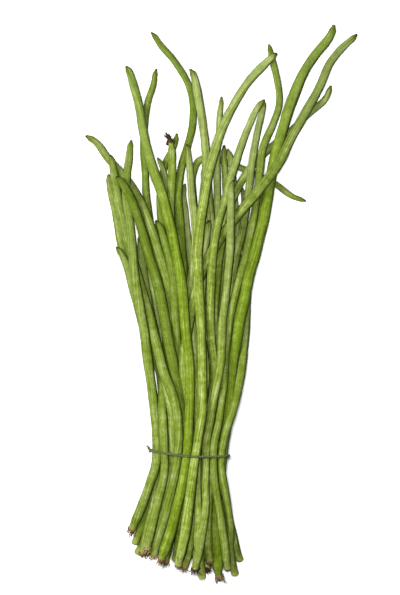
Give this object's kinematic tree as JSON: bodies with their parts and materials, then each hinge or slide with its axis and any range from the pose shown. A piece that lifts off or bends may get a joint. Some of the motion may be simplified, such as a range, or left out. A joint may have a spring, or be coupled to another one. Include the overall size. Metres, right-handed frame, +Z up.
{
  "type": "yardlong bean bunch",
  "caption": "Bunch of long slender green bean pods lying on its side, tied with thin twine near the stalk ends, tips fanned out and crossing.",
  "frame": {"origin": "on the table, under the middle of the bunch's bounding box", "axes": "+Y along the bunch from its stalk ends to its fanned tips, +X to the right as the camera sees it, +Z up from the table"},
  "size_m": [0.2736, 0.5562, 0.0588],
  "materials": {
    "pod_pale": "satin",
    "pod_leaf": "satin",
    "pod_bright": "satin",
    "twine": "matte"
  },
  "bodies": {
    "root": {"pod_01": "pod_bright", "pod_02": "pod_leaf", "pod_03": "pod_pale", "pod_04": "pod_leaf", "pod_05": "pod_bright", "pod_06": "pod_pale", "pod_07": "pod_pale", "pod_08": "pod_leaf", "pod_09": "pod_leaf", "pod_10": "pod_pale", "pod_11": "pod_pale", "pod_12": "pod_leaf", "pod_13": "pod_leaf", "pod_14": "pod_pale", "pod_15": "pod_leaf", "pod_16": "pod_pale", "pod_17": "pod_leaf", "pod_18": "pod_pale", "pod_19": "pod_leaf", "pod_20": "pod_pale", "pod_21": "pod_pale", "pod_22": "pod_leaf", "pod_23": "pod_pale", "pod_24": "pod_leaf", "pod_25": "pod_pale", "pod_26": "pod_pale", "pod_27": "pod_pale", "pod_28": "pod_pale", "pod_29": "pod_pale", "pod_30": "pod_leaf", "pod_31": "pod_leaf", "pod_32": "pod_pale", "pod_33": "pod_leaf", "pod_34": "pod_leaf", "pod_35": "pod_leaf", "pod_36": "pod_leaf", "pod_37": "pod_leaf", "pod_38": "pod_leaf", "twine": "twine"}
  },
  "joints": []
}
